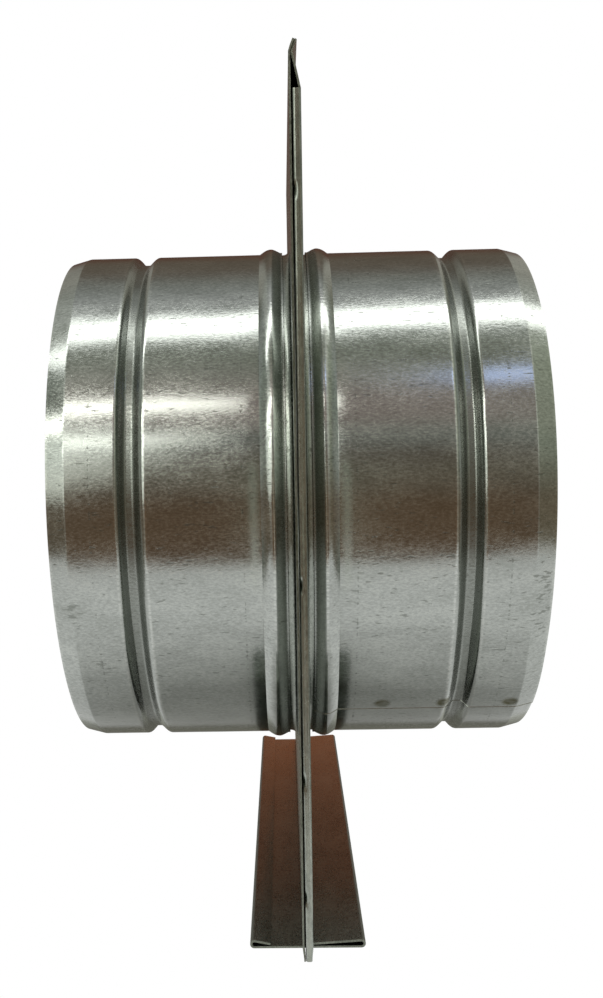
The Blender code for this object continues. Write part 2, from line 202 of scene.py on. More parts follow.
def galvanisedSteel(name, look):
    # hot-dip galvanised sheet, skin-passed between rollers: a bright zinc skin with a fine grain
    # drawn out along the rolling direction, which frays the edge of every reflection
    material, tree, shader = newMaterial(name)
    place = addNode(tree, "ShaderNodeTexCoord").outputs["Object"]
    parts = addNode(tree, "ShaderNodeSeparateXYZ", {0: place})
    fields = {}
    for key, (width, length, detail) in look["patterns"].items():
        stretch = [1.0, 1.0, 1.0]
        stretch[look["rolledAlong"]] = width / length
        stretched = addNode(tree, "ShaderNodeMapping", {"Vector": place, "Scale": stretch})
        fields[key] = addNode(tree, "ShaderNodeTexNoise", {
            "Vector": stretched.outputs[0], "Scale": 1 / (width * mm), "Detail": detail,
            "Roughness": zinc["noiseRoughness"]}).outputs["Fac"]
    rubbed = nearBands(tree, parts, look["rubbed"])
    # bands in the corners and the groove, darkened below as grime and painted shade
    grimeAndShadeBands = nearBands(tree, parts, look["grimeAndShadeBands"])
    lined = nearBands(tree, parts, look["rollerLines"])
    burnt = nearSpots(tree, place, look["welds"], zinc["burntReach"])
    scuffed = nearSpots(tree, place, look["scuffs"], zinc["scuffReach"])
    usualLow, usualHigh = zinc["usualNoise"]
    wideLow, wideHigh = zinc["wideNoise"]

    # zinc tone: clouds and grain shift it between three greys
    blended = addNode(tree, "ShaderNodeMix", {
        "Factor": zinc["grainShare"], "A": fields["clouds"], "B": fields["grain"]})
    tone = addNode(tree, "ShaderNodeValToRGB", {"Fac": blended.outputs["Result"]})
    setRamp(tone, list(zip(zinc["toneStops"], (look["dark"], look["middle"], look["light"]))))
    # dark dashes where the skin-pass roller caught dross; scuffs and roller lines bring out more
    marked = addNode(tree, "ShaderNodeMath", {
        0: lined, 1: zinc["lineDashes"], 2: fields["dashes"]}, operation="MULTIPLY_ADD")
    level = addNode(tree, "ShaderNodeMath", {
        0: scuffed, 1: zinc["scuffDashes"], 2: marked.outputs[0]}, operation="MULTIPLY_ADD")
    dashShare = addNode(tree, "ShaderNodeMapRange", {
        "Value": level.outputs[0], "From Min": look["dashFrom"],
        "From Max": look["dashFrom"] + zinc["dashFade"], "To Max": look["dashDepth"]})
    dashed = addNode(tree, "ShaderNodeMix", {
        "Factor": dashShare.outputs[0], "A": tone.outputs["Color"], "B": fromHex(look["dash"])},
        data_type="RGBA")
    # rubbed bright on the edges and crests that hands and ducts touch
    rubShare = addNode(tree, "ShaderNodeMapRange", {
        "Value": fields["dashes"], "From Min": usualLow, "From Max": usualHigh,
        "To Min": zinc["rubbedCover"][0], "To Max": zinc["rubbedCover"][1]})
    rub = addNode(tree, "ShaderNodeMath", {0: rubbed, 1: rubShare.outputs[0]},
                  operation="MULTIPLY")
    rubbedTone = addNode(tree, "ShaderNodeMix", {
        "Factor": rub.outputs[0], "A": dashed.outputs["Result"], "B": fromHex(look["worn"])},
        data_type="RGBA")
    # grime and painted shade: darker towards the dash tone in the corners and in the groove, where
    # shade falls
    grimeAndShadeShare = addNode(tree, "ShaderNodeMapRange", {
        "Value": fields["grain"], "From Min": wideLow, "From Max": wideHigh,
        "To Min": zinc["grimeAndShadeCover"][0], "To Max": zinc["grimeAndShadeCover"][1]})
    grimeAndShade = addNode(tree, "ShaderNodeMath", {0: grimeAndShadeBands, 1: grimeAndShadeShare.outputs[0]},
                    operation="MULTIPLY")
    grimeAndShadeTone = addNode(tree, "ShaderNodeMix", {
        "Factor": grimeAndShade.outputs[0], "A": rubbedTone.outputs["Result"],
        "B": fromHex(look["dash"])}, data_type="RGBA")
    # spot welds burn the zinc to a dull, blotchy olive
    burntShare = addNode(tree, "ShaderNodeMapRange", {
        "Value": fields["dashes"], "From Min": usualLow, "From Max": usualHigh,
        "To Min": zinc["burntCover"][0], "To Max": zinc["burntCover"][1]})
    burn = addNode(tree, "ShaderNodeMath", {0: burnt, 1: burntShare.outputs[0]},
                   operation="MULTIPLY")
    colour = addNode(tree, "ShaderNodeMix", {
        "Factor": burn.outputs[0], "A": grimeAndShadeTone.outputs["Result"],
        "B": fromHex(zinc["burntTone"])}, data_type="RGBA")

    # roughness: duller where the grain is open, in grime and on welds, smoother where it is rubbed
    roughness = addNode(tree, "ShaderNodeMapRange", {
        "Value": blended.outputs["Result"], "From Min": wideLow, "From Max": wideHigh,
        "To Min": look["smooth"], "To Max": look["rough"]})
    for mark, added in ((dashShare.outputs[0], zinc["dashRoughness"]),
                        (burnt, zinc["burntRoughness"]),
                        (grimeAndShade.outputs[0], zinc["grimeRoughness"]),
                        (rub.outputs[0], zinc["rubbedRoughness"])):
        roughness = addNode(tree, "ShaderNodeMath", {0: mark, 1: added, 2: roughness.outputs[0]},
                            operation="MULTIPLY_ADD")

    # bump: shallow waves in the sheet, then the grain, then the dashes as pits
    waves = addNode(tree, "ShaderNodeBump", {
        "Height": fields["waves"], "Strength": 1.0, "Distance": look["waveDepth"] * mm})
    grain = addNode(tree, "ShaderNodeBump", {
        "Height": fields["grain"], "Strength": 1.0, "Distance": look["grainDepth"] * mm,
        "Normal": waves.outputs[0]})
    pits = addNode(tree, "ShaderNodeBump", {
        "Height": dashShare.outputs[0], "Strength": 1.0, "Distance": look["pitDepth"] * mm,
        "Normal": grain.outputs[0]}, invert=True)

    shader.inputs["Metallic"].default_value = 1.0
    tree.links.new(colour.outputs["Result"], shader.inputs["Base Color"])
    tree.links.new(roughness.outputs[0], shader.inputs["Roughness"])
    tree.links.new(pits.outputs[0], shader.inputs["Normal"])
    return material


# spigots: thin tube, tapered mouth, rolled-in groove, rolled-out bead beside the casing

tube = {
    "radius": 79.5,
    "wall": 0.5,
    "mouth": 70.4,            # places along the tube count from the casing's middle
    "leadIn": 5.3,
    "leadInDrop": 1.4,
    "groove": 47.5,
    "grooveDepth": 2.4,
    "grooveMouthSide": 3.7,
    "grooveBeadSide": 4.6,
    "grooveFloor": 0.2,       # share of the groove's half width that is its round bottom
    "bead": 7.3,
    "beadHeight": 1.6,
    "beadMouthSide": 3.4,
    "beadCasingSide": 3.0,
    "beadRound": 0.25,        # how round the crest is against its straight flank at the casing
    "beadMouthRound": 0.9,    # and towards the mouth
    "innerEnd": 3.7,
    "flare": 0.5,
    "lapEdge": {"left": 310.0, "right": 230.0},   # degrees about +X from +Y
    "lapWidth": 7.5,          # degrees that the two ends of the blank lie over each other
    "lapClimb": 3,            # the outer end starts to climb this many laps before its edge
    "lapRounding": [(0.25, 0.85), (0.1, 0.4)],    # degrees before the edge, share of the wall left
    "ripple": 0.05,           # hand-fed rolling leaves the wall this far from a true cylinder
    # its waves: length along the tube, waves round it, share, and shift between the two tubes
    "rippleWaves": [(34, 2.4, 1.0, 7), (11, 7, 0.35, 0)],
    "rippleFrom": (9, 14),
    "welds": (24.2, 42.9, 62.8),
    "weldBack": 2.6,          # degrees from the lap's edge back to the row of welds
    "weldRadius": 2.5,
    "weldDepth": 0.12,
    "sectors": 300,
    "climbSectors": 16,
    "lapSectors": 24,
    "stepWidth": 0.1,         # degrees in which a face steps up or down at the lap's two ends
    "shoulder": 0.25,         # distance of the rows that hold a crease or a roll's edge crisp
    "leastStep": 0.1,         # rows nearer than this are left out
    "weldRows": 2.3,          # reach of the finer rows on both sides of a weld
    "rows": {"beadCasingSide": 10, "beadMouthSide": 10, "wall": 8, "grooveBeadSide": 13,
             "grooveMouthSide": 11, "mouthWall": 5, "leadIn": 5, "weld": 10},
}


def ridge(away, reach, height, crown):
    # straight flanks that meet in a rounded crown
    share = abs(away) / reach
    if share >= 1:
        return 0.0
    return height * (1 - (math.hypot(share, crown) - crown) / (math.hypot(1, crown) - crown))


def rolledRadius(x):
    # the middle of the tube's wall at a distance from the casing's middle
    radius = tube["radius"] - tube["wall"] / 2
    reach = tube["grooveMouthSide"] if x > tube["groove"] else tube["grooveBeadSide"]
    share = abs(x - tube["groove"]) / reach
    radius -= tube["grooveDepth"] * (1 - easeBetween(share, tube["grooveFloor"], 1))
    if x > tube["bead"]:
        side, crown = tube["beadMouthSide"], tube["beadMouthRound"]
    else:
        side, crown = tube["beadCasingSide"], tube["beadRound"]
    radius += ridge(x - tube["bead"], side, tube["beadHeight"], crown)
    leadIn = max(0.0, x - (tube["mouth"] - tube["leadIn"])) / tube["leadIn"]
    flare = max(0.0, 1 - (x - tube["innerEnd"]) / (tube["bead"] - tube["innerEnd"]))
    return radius - tube["leadInDrop"] * leadIn + tube["flare"] * flare


def weldPlaces(side):
    # the middle of each weld on the lap's outer face
    turn = math.radians(tube["lapEdge"][side] - tube["weldBack"])
    direction = -1 if side == "left" else 1
    for x in tube["welds"]:
        radius = rolledRadius(x) + 1.5 * tube["wall"]
        yield direction * x, radius * math.cos(turn), radius * math.sin(turn)


# rolled tube: the brightest zinc, smoothed once more by the bending rolls
tubeLook = {
    "rolledAlong": 0,         # X
    # cell width and length along the rolling direction in mm, and detail; the real grain is under
    # 0.2 mm and is drawn coarser to show at all
    "patterns": {
        "grain": (0.5, 1.1, 3.0),
        "dashes": (0.85, 3.4, 1.5),
        "clouds": (7.0, 16.0, 3.0),
        "waves": (6.0, 11.0, 1.0),
    },
    "grainDepth": 0.014,
    "waveDepth": 0.022,
    "pitDepth": 0.012,
    "dashFrom": 0.655,
    "dashDepth": 0.6,
    "dark": "#939791",
    "middle": "#a1a5a0",
    "light": "#afb3ad",
    "dash": "#6a6e67",
    "worn": "#c9ccc6",
    "smooth": 0.13,
    "rough": 0.24,
    # wear, and grime with painted shade in the recesses: (axis, distance from the middle, reach) in
    # mm
    "rubbed": [(0, tube["bead"], 0.7), (0, tube["groove"] - tube["grooveBeadSide"], 0.6),
               (0, tube["groove"] + tube["grooveMouthSide"], 0.6), (0, tube["mouth"], 0.8)],
    # darker in the groove and at the bead's foot: grime and painted shade
    "grimeAndShadeBands": [(0, tube["groove"], 4.4), (0, tube["bead"] - tube["beadCasingSide"], 1.4)],
    "rollerLines": [(0, 15.8, 0.35), (0, 58.3, 0.35)],
    "welds": [*weldPlaces("left"), *weldPlaces("right")],
    "scuffs": [(-59.1, -67.2, -42.6), (-56.4, -66.4, -44.3), (-64.4, -74.8, -27.1),
               (-65.0, -75.7, -25.3), (68.5, -76.5, -22.7), (68.0, -75.0, -27.3),
               (68.0, -72.9, -32.5), (67.5, -77.8, -18.0)],
}
# sheared edge: bare steel with drawn-over zinc, darker and duller than the skin
edgeLook = dict(tubeLook, rolledAlong=2,
                patterns=dict(tubeLook["patterns"], grain=(0.3, 0.8, 3.0)),
                dark="#666b60", middle="#7a7f74", light="#8e9388", dash="#524f45",
                smooth=0.3, rough=0.45,
                rubbed=[], grimeAndShadeBands=[], rollerLines=[], welds=[], scuffs=[])
galvanisedTube = galvanisedSteel("galvanisedTube", tubeLook)
shearedEdge = galvanisedSteel("shearedSteelEdge", edgeLook)


def tubeStations():
    shoulder, rows, reach = tube["shoulder"], tube["rows"], tube["weldRows"]
    beadEnd = tube["bead"] + tube["beadMouthSide"]
    grooveStart = tube["groove"] - tube["grooveBeadSide"]
    grooveEnd = tube["groove"] + tube["grooveMouthSide"]
    crease = tube["mouth"] - tube["leadIn"]
    stations = spread(tube["innerEnd"], tube["bead"], rows["beadCasingSide"])
    stations += spread(tube["bead"], beadEnd, rows["beadMouthSide"])[1:]
    stations += spread(beadEnd + shoulder, grooveStart - shoulder, rows["wall"])
    stations += spread(grooveStart, tube["groove"], rows["grooveBeadSide"])
    stations += spread(tube["groove"], grooveEnd, rows["grooveMouthSide"])[1:]
    stations += spread(grooveEnd + shoulder, crease - shoulder, rows["mouthWall"])
    stations += [crease] + spread(crease + shoulder, tube["mouth"], rows["leadIn"])
    for weld in tube["welds"]:
        stations += spread(weld - reach, weld + reach, rows["weld"])
    stations.sort()
    kept = [x for x, following in zip(stations, stations[1:])
            if following - x > tube["leastStep"]]
    return kept + [tube["mouth"]]


def lapSectors(edge):
    # each sector's angle, and how far the outer and inner face stand out there: the blank's outer
    # end climbs over the other end and stops at its sheared edge
    wall = tube["wall"]
    end = edge + 360
    full = end - tube["lapWidth"]
    climb = end - tube["lapClimb"] * tube["lapWidth"]
    step = tube["stepWidth"]
    sectors = [(edge, wall, 0.0), (edge + step, 0.0, 0.0)]
    sectors += [(degrees, 0.0, 0.0) for degrees in spread(edge + 1.0, climb, tube["sectors"])]
    for degrees in spread(climb, full, tube["climbSectors"])[1:]:
        rise = wall * easeBetween(degrees, climb, full)
        sectors.append((degrees, rise, rise))
    sectors += [(degrees, wall, 0.0)
                for degrees in spread(full + step, end - 4 * step, tube["lapSectors"])]
    return sectors + [(end - before, share * wall, 0.0) for before, share in tube["lapRounding"]]


def handRipple(x, turn, direction):
    wave = 0.0
    for length, around, share, shift in tube["rippleWaves"]:
        place = (x / length + shift * direction, math.cos(turn) * around, math.sin(turn) * around)
        wave += share * noise.noise(Vector(place))
    return tube["ripple"] * wave * easeBetween(x, *tube["rippleFrom"])


def weldDent(x, radius, degrees, weldTurn):
    across = radius * math.radians(degrees - weldTurn)
    away = min(math.hypot(x - weld, across) for weld in tube["welds"])
    return tube["weldDepth"] * (1 - easeBetween(away, 0.5 * tube["weldRadius"], tube["weldRadius"]))


def makeSpigot(name, side, node):
    middle = [(x, rolledRadius(x)) for x in tubeStations()]
    outer = offsetLine(middle, tube["wall"] / 2)
    inner = offsetLine(middle, -tube["wall"] / 2)
    for line in (outer, inner):
        # both ends of the wall are cut square to the duct
        line[0] = (tube["innerEnd"], line[0][1])
        line[-1] = (tube["mouth"], line[-1][1])
    direction = -1 if side == "left" else 1
    edge = tube["lapEdge"][side]
    weldTurn = edge + 360 - tube["weldBack"]
    bm = bmesh.new()
    rings = []
    for degrees, outOffset, inOffset in lapSectors(edge):
        turn = math.radians(degrees)
        ring = []
        for face, offset in ((outer, outOffset), (reversed(inner), inOffset)):
            for x, radius in face:
                reach = radius + offset + handRipple(x, turn, direction)
                if face is outer:
                    reach -= weldDent(x, radius, degrees, weldTurn)
                ring.append(addVert(bm, direction * x,
                                    reach * math.cos(turn), reach * math.sin(turn)))
        rings.append(ring)
    for ring, nextRing in zip(rings, rings[1:] + rings[:1]):
        made = joinRings(bm, ring, nextRing)
        for index in (len(outer) - 1, len(ring) - 1):
            made[index].material_index = 1
    finishPiece(name, bm, "housing", node, [galvanisedTube, shearedEdge])


makeSpigot("spigotLeft", "left", "spigot_left")
makeSpigot("spigotRight", "right", "spigot_right")
print("spigots rolled")

# casing: a flat sheet and a sheet folded round its edges into the gate's channels

casing = {
    "halfWidth": 101.5,
    "halfHeight": 118.48,
    "halfThickness": 1.5,
    "gauge": 0.5,
    "seatGap": 0.3,
    "bend": 0.45,             # radius at the middle of the sheet
    "lipWidth": 8.0,
    "edgeInset": 0.2,
    "channelTop": 107.2,
    "closing": 8.4,           # height in which the folded sheet slopes over to the flat one
    "closingBulge": 0.06,
    "seamLean": 1.1,          # how far both sheets lean over above that
    "seamCurl": 0.3,          # share of the lean that comes late
    "seamGap": 0.08,
    "notchHeight": -113.9,
    "notchHalfWidth": 98.6,
    "pinch": 0.6,
    "footClosing": 0.42,      # how far the flat sheet's foot is pressed over to the rail's
    "crimps": (83.6, -14.7, -67.4, -100.2),
    "crimpDepth": (0.5, 0.8, 0.7, 0.7),
    "crimpHalfLength": 2.8,
    "crimpReach": 1.6,        # bend radii from the lip's sheet to where a crimp ends
    "crimpFade": 1.1,         # and over how many of them it fades
    "fillet": 1.9,
    "neckEnd": 11.9,
    "outlineStep": 1.6,
    "flatRings": (3, 0.8),    # rings on the flat sheet round the hole, beyond the fillet
    "rows": {"neck": 20, "fillet": 7, "seam": 5, "foot": 6, "bend": 6, "strip": 4, "crimp": 10,
             "closing": 10},
}
# casing sheet: never polished by rolls or hands, so duller and darker, rubbed only at its rims
sheetLook = dict(tubeLook, rolledAlong=2,
                 dark="#7d827a", middle="#8b9088", light="#999e96", dash="#5c6058", worn="#a9ada3",
                 smooth=0.2, rough=0.3,
                 rubbed=[(1, casing["halfWidth"], 0.7), (2, casing["halfHeight"], 1.2)],
                 # darker along the inner edge of the channel's lip: grime and painted shade in the
                 # corner
                 grimeAndShadeBands=[(1, casing["halfWidth"] - casing["lipWidth"], 1.5)],
                 rollerLines=[], welds=[], scuffs=[])
galvanisedSheet = galvanisedSteel("galvanisedSheet", sheetLook)

sheetMiddle = casing["halfThickness"] - casing["gauge"] / 2
lipMiddle = -casing["halfThickness"] + 1.5 * casing["gauge"] + casing["seatGap"]


def walkOutline(corners, step):
    # the corners' outline with points no further apart than step, and all corners kept
    walked = []
    for start, stop in zip(corners, corners[1:] + corners[:1]):
        count = max(1, math.ceil(math.dist(start, stop) / step))
        for i in range(count):
            share = i / count
            walked.append([a + (b - a) * share for a, b in zip(start, stop)])
    return walked


def makeBlank(bm, direction, corners):
    # the flat part with its round hole, and the neck that is drawn out at the hole
    outline = walkOutline(corners, casing["outlineStep"])
    angles = [math.atan2(z, y) for y, z in outline]
    under = [(x, rolledRadius(x)) for x
             in spread(tube["innerEnd"], casing["neckEnd"], casing["rows"]["neck"])]
    under = offsetLine(under, -(tube["wall"] / 2 + casing["seatGap"] + casing["gauge"] / 2))
    neckStart, neckRadius = under[0]
    holeRadius = neckRadius + casing["fillet"]
    rings = [[addVert(bm, direction * sheetMiddle, y, z) for y, z in outline]]
    profile = [(sheetMiddle, holeRadius + beyond) for beyond in casing["flatRings"]]
    for degrees in spread(0, 90, casing["rows"]["fillet"]):
        turn = math.radians(degrees)
        profile.append((sheetMiddle + (neckStart - sheetMiddle) * (1 - math.cos(turn)),
                        holeRadius - casing["fillet"] * math.sin(turn)))
    for x, radius in profile + under[1:]:
        rings.append([addVert(bm, direction * x, radius * math.cos(a), radius * math.sin(a))
                      for a in angles])
    for ring, nextRing in zip(rings, rings[1:]):
        joinRings(bm, ring, nextRing)


def borderWhere(bm, test):
    return [edge for edge in bm.edges
            if edge.is_boundary and all(test(v.co / mm) for v in edge.verts)]


def carryOn(bm, edges, move):
    # extrudes a chain of edges and places each new vertex by what move says of its old place
    made = bmesh.ops.extrude_edge_only(bm, edges=edges)["geom"]
    for vert in (item for item in made if isinstance(item, bmesh.types.BMVert)):
        vert.co = move(vert.co / mm) * mm
    return [item for item in made if isinstance(item, bmesh.types.BMEdge)
            and not any(vert in edge.verts for edge in edges for vert in item.verts)]


def isNear(value, target):
    return abs(value - target) < snap


def closeTop(bm, start, edgeTest, rows):
    edges = borderWhere(bm, lambda p: isNear(p.z, start) and edgeTest(p))
    for height, x in rows:
        edges = carryOn(bm, edges, lambda p, x=x, z=height: Vector((x, p.y, z)))


def seamRows(start, x):
    # both sheets lie together and lean over, more and more towards the crest
    curl = casing["seamCurl"]
    return [(start + (casing["halfHeight"] - start) * s,
             x + casing["seamLean"] * ((1 - curl) * s + curl * s * s))
            for s in spread(0, 1, casing["rows"]["seam"])[1:]]


def railFeet(bm, squeeze):
    # the rails' feet run on past the notch for the handle and are pinched together
    drop = -casing["halfHeight"] - casing["notchHeight"]
    for side in (-1, 1):
        edges = borderWhere(bm, lambda p: isNear(p.z, casing["notchHeight"])
                            and side * p.y > casing["notchHalfWidth"] - snap)
        previous = 0.0
        for share in spread(0, 1, casing["rows"]["foot"])[1:]:
            step = easeBetween(share, 0, 1) - easeBetween(previous, 0, 1)
            height = casing["notchHeight"] + drop * share
            edges = carryOn(bm, edges,
                            lambda p, s=step, z=height: Vector((squeeze(p.x, s), p.y, z)))
            previous = share


def makeFlatSheet():
    edge = casing["halfWidth"] - casing["edgeInset"]
    bendHeight = casing["channelTop"] + casing["closing"]
    foot, notch = casing["notchHeight"], casing["notchHalfWidth"]
    bm = bmesh.new()
    makeBlank(bm, -1, [(-notch, foot), (notch, foot), (edge, foot),
                       (edge, bendHeight), (-edge, bendHeight), (-edge, foot)])
    closeTop(bm, bendHeight, lambda p: True, seamRows(bendHeight, -sheetMiddle))
    railFeet(bm, lambda x, s: x + s * casing["footClosing"])
    finishPiece("casingFlatSheet", bm, "housing", "casing_flat_sheet",
                [galvanisedSheet, shearedEdge], casing["gauge"])


def pressCrimps(x, y, z):
    # the channel's corner is pressed in beside the flat sheet's raw edge, which locks the sheets
    depth = 0.0
    for height, deep in zip(casing["crimps"], casing["crimpDepth"]):
        away = abs(z - height) / casing["crimpHalfLength"]
        if away < 1:
            depth = max(depth, deep * 0.5 * (1 + math.cos(math.pi * away)))
    fadeOut = lipMiddle + casing["crimpReach"] * casing["bend"]
    share = min(1.0, max(0.0, (fadeOut - x) / (casing["crimpFade"] * casing["bend"])))
    return Vector((x, y - math.copysign(depth * share, y), z))


def foldChannel(bm, edges, side):
    # from the sheet's edge: round the first bend, across the strip, round the second, along the lip
    web = casing["halfWidth"] - casing["gauge"] / 2
    radius, rows = casing["bend"], casing["rows"]
    flat = web - radius
    path = arcPoints((sheetMiddle - radius, flat), radius, 0, 90, rows["bend"])[1:]
    path += [(x, web) for x
             in spread(sheetMiddle - radius, lipMiddle + radius, rows["strip"])[1:-1]]
    path += arcPoints((lipMiddle + radius, flat), radius, 90, 180, rows["bend"])
    path += [(lipMiddle, casing["notchHalfWidth"]),
             (lipMiddle, casing["halfWidth"] - casing["lipWidth"])]
    for x, y in path:
        if y > casing["notchHalfWidth"] + snap:
            edges = carryOn(bm, edges, lambda p, x=x, y=y: pressCrimps(x, side * y, p.z))
        else:
            edges = carryOn(bm, edges, lambda p, x=x, y=y: Vector((x, side * y, p.z)))


def makeFoldedSheet():
    edge = casing["halfWidth"] - casing["gauge"] / 2 - casing["bend"]
    foot, notch, top = casing["notchHeight"], casing["notchHalfWidth"], casing["channelTop"]
    heights = [foot, top]
    for height in casing["crimps"]:
        half = casing["crimpHalfLength"]
        heights += spread(height - half, height + half, casing["rows"]["crimp"])
    heights.sort()
    corners = [(-notch, foot), (notch, foot)] + [(edge, z) for z in heights]
    corners += [(-edge, z) for z in reversed(heights)]
    bm = bmesh.new()
    makeBlank(bm, 1, corners)
    for side in (-1, 1):
        foldChannel(bm, borderWhere(bm, lambda p, side=side: isNear(p.y, side * edge)), side)
    against = -sheetMiddle + casing["gauge"] + casing["seamGap"]
    bulge = casing["closingBulge"]
    rows = []
    for share in spread(0, 1, casing["rows"]["closing"])[1:]:
        swell = math.sin(math.pi * share) / math.pi + easeBetween(share, 0, 1)
        bent = (1 + bulge) * share - bulge * swell
        rows.append((top + casing["closing"] * share,
                     sheetMiddle + (against - sheetMiddle) * bent))
    rows += seamRows(top + casing["closing"], against)
    closeTop(bm, top, lambda p: isNear(p.x, sheetMiddle) and abs(p.y) < edge + snap, rows)

    # at the foot the lip goes over by a third of the pinch and the sheet comes the rest of the way
    depth = sheetMiddle - lipMiddle
    railFeet(bm, lambda x, s: x + s * casing["pinch"] * (1 / 3 - (x - lipMiddle) / depth))
    finishPiece("casingFoldedSheet", bm, "housing", "casing_channel_sheet",
                [galvanisedSheet, shearedEdge], casing["gauge"])


makeFlatSheet()
makeFoldedSheet()
print("casing folded")

# sliding gate: one sheet, a blade with two ears and the T-handle folded at its foot

gate = {
    "gauge": 0.6,
    "middle": 0.4,
    "top": 104.0,
    "halfWidth": 98.2,
    "earHalfWidth": 100.4,
    "earFoot": 71.4,
    "earChamfer": 2.0,
    "bend": 0.6,
    "handleHalfWidth": 15.9,
    "layerGap": 0.3,
    "loopOpening": 1.2,
    "hem": 5.6,
    "rows": {"across": 80, "bend": 8, "loop": 14},
}
# gate sheet: the same zinc, scoured a little by sliding and by hands
gateLook = dict(sheetLook, rolledAlong=1,
                dark="#7e837d", middle="#8e938d", light="#9ca19b", dash="#575a54", worn="#b5b4aa",
                smooth=0.24, rough=0.34,
                # darker round the handle's rolled ends: grime, and painted shade in the folds
                rubbed=[(1, gate["halfWidth"], 0.8)], grimeAndShadeBands=[(0, gate["handleHalfWidth"], 1.4)])
galvanisedGate = galvanisedSteel("galvanisedGate", gateLook)


def handleLine():
    # from the gate's foot: right, back to the left underneath, and a short hem over the left edge
    bend, foot = gate["bend"], casing["notchHeight"] - casing["seatGap"]
    rows = gate["rows"]
    line = arcPoints((bend, foot), bend, 180, 270, rows["bend"])
    upper = line[-1][1]
    lower = upper - gate["gauge"] - gate["layerGap"]
    radius = (gate["gauge"] + gate["loopOpening"]) / 2
    end = gate["handleHalfWidth"] - gate["middle"] - gate["gauge"] / 2 - radius
    line += arcPoints((end, lower + radius), radius, 90, -90, rows["loop"])
    end = -gate["handleHalfWidth"] - gate["middle"] + gate["gauge"] / 2 + radius
    line += arcPoints((end, lower + radius), radius, 270, 90, rows["loop"])
    return line + [(-gate["handleHalfWidth"] - gate["middle"] + gate["hem"], upper)]


def makeGate():
    bm = bmesh.new()
    across = spread(-gate["halfWidth"], gate["halfWidth"], gate["rows"]["across"])
    top = [addVert(bm, 0, y, gate["top"]) for y in across]
    ears = [addVert(bm, 0, y, gate["earFoot"]) for y in across]
    joinRings(bm, top, ears, closed=False)
    outline = [(gate["earHalfWidth"] - gate["earChamfer"] / 2, gate["top"]),
               (gate["earHalfWidth"], gate["top"] - gate["earChamfer"]),
               (gate["earHalfWidth"], gate["earFoot"])]
    for k, side in ((0, -1), (-1, 1)):
        ring = [top[k]] + [addVert(bm, 0, side * y, z) for y, z in outline] + [ears[k]]
        bm.faces.new(ring if side > 0 else list(reversed(ring)))
    edges = [bm.edges.get(pair) for pair in zip(ears, ears[1:])]
    for x, z in handleLine():
        edges = carryOn(bm, edges, lambda p, x=x, z=z: Vector((x, p.y, z)))
    bmesh.ops.translate(bm, verts=bm.verts, vec=(gate["middle"] * mm, 0, 0))
    finishPiece("slidingGate", bm, "gate", "slide_gate",
                [galvanisedGate, shearedEdge], gate["gauge"])


makeGate()
print("gate folded")

# studio: pale floor, a dim glowing tent that the bare metal mirrors, soft lamps

studio = {
    "floorDrop": 420.0,
    # the paper's outline; the zinc mirrors where it ends and the tent begins
    "floorOutline": [(-900, 330), (-900, -950), (100, -940), (380, -1110), (900, -1110),
                     (900, 330)],
    "paper": "#dededb",
    "paperRoughness": 0.9,
    "shadowCentre": (0, 120, 0),    # round this place the paper keeps its own light and shadow
    "shadowFade": (170, 520),
    "shadowNarrow": 1.7,
    "worldLight": 0.26,
    "tentRadius": 3200.0,
    "tubeFront": (0.0, -60.0, 0.0),
    # lamps by where the tube's front mirrors them: elevation from straight ahead over the top, lean
    # to the right, distance and size in mm, turn about its own axis, glow against plain white
    "lamps": {
        "ceilingBox": {"elevation": 90.6, "lean": 0, "distance": 1500, "size": (2300, 325),
                       "turn": 15.5, "shape": "RECTANGLE", "glow": 3.6, "colour": "#ffffff"},
        "frontLeftHigh": {"elevation": 46.4, "lean": -23.5, "distance": 1500, "size": (1120, 140),
                          "turn": 4, "shape": "RECTANGLE", "glow": 5.5, "colour": "#fffdf8"},
        "frontLeftLow": {"elevation": 30.8, "lean": -21.2, "distance": 1500, "size": (800, 80),
                         "turn": 5, "shape": "RECTANGLE", "glow": 4.2, "colour": "#fffdf8"},
        "frontLeftCard": {"elevation": 27.0, "lean": -29.5, "distance": 1700,
                          "size": (1400, 1250), "turn": 0, "shape": "ELLIPSE", "glow": 1.15,
                          "colour": "#fbfff8"},
        "windowRight": {"elevation": 59.2, "lean": 13.5, "distance": 1500, "size": (190, 140),
                        "turn": 0, "shape": "RECTANGLE", "glow": 3.0, "colour": "#a9bef5"},
        "warmCardBehind": {"elevation": 182.5, "lean": 0, "distance": 662, "size": (280, 170),
                           "turn": 0, "shape": "RECTANGLE", "glow": 1.0, "colour": "#b96f46"},
    },
}

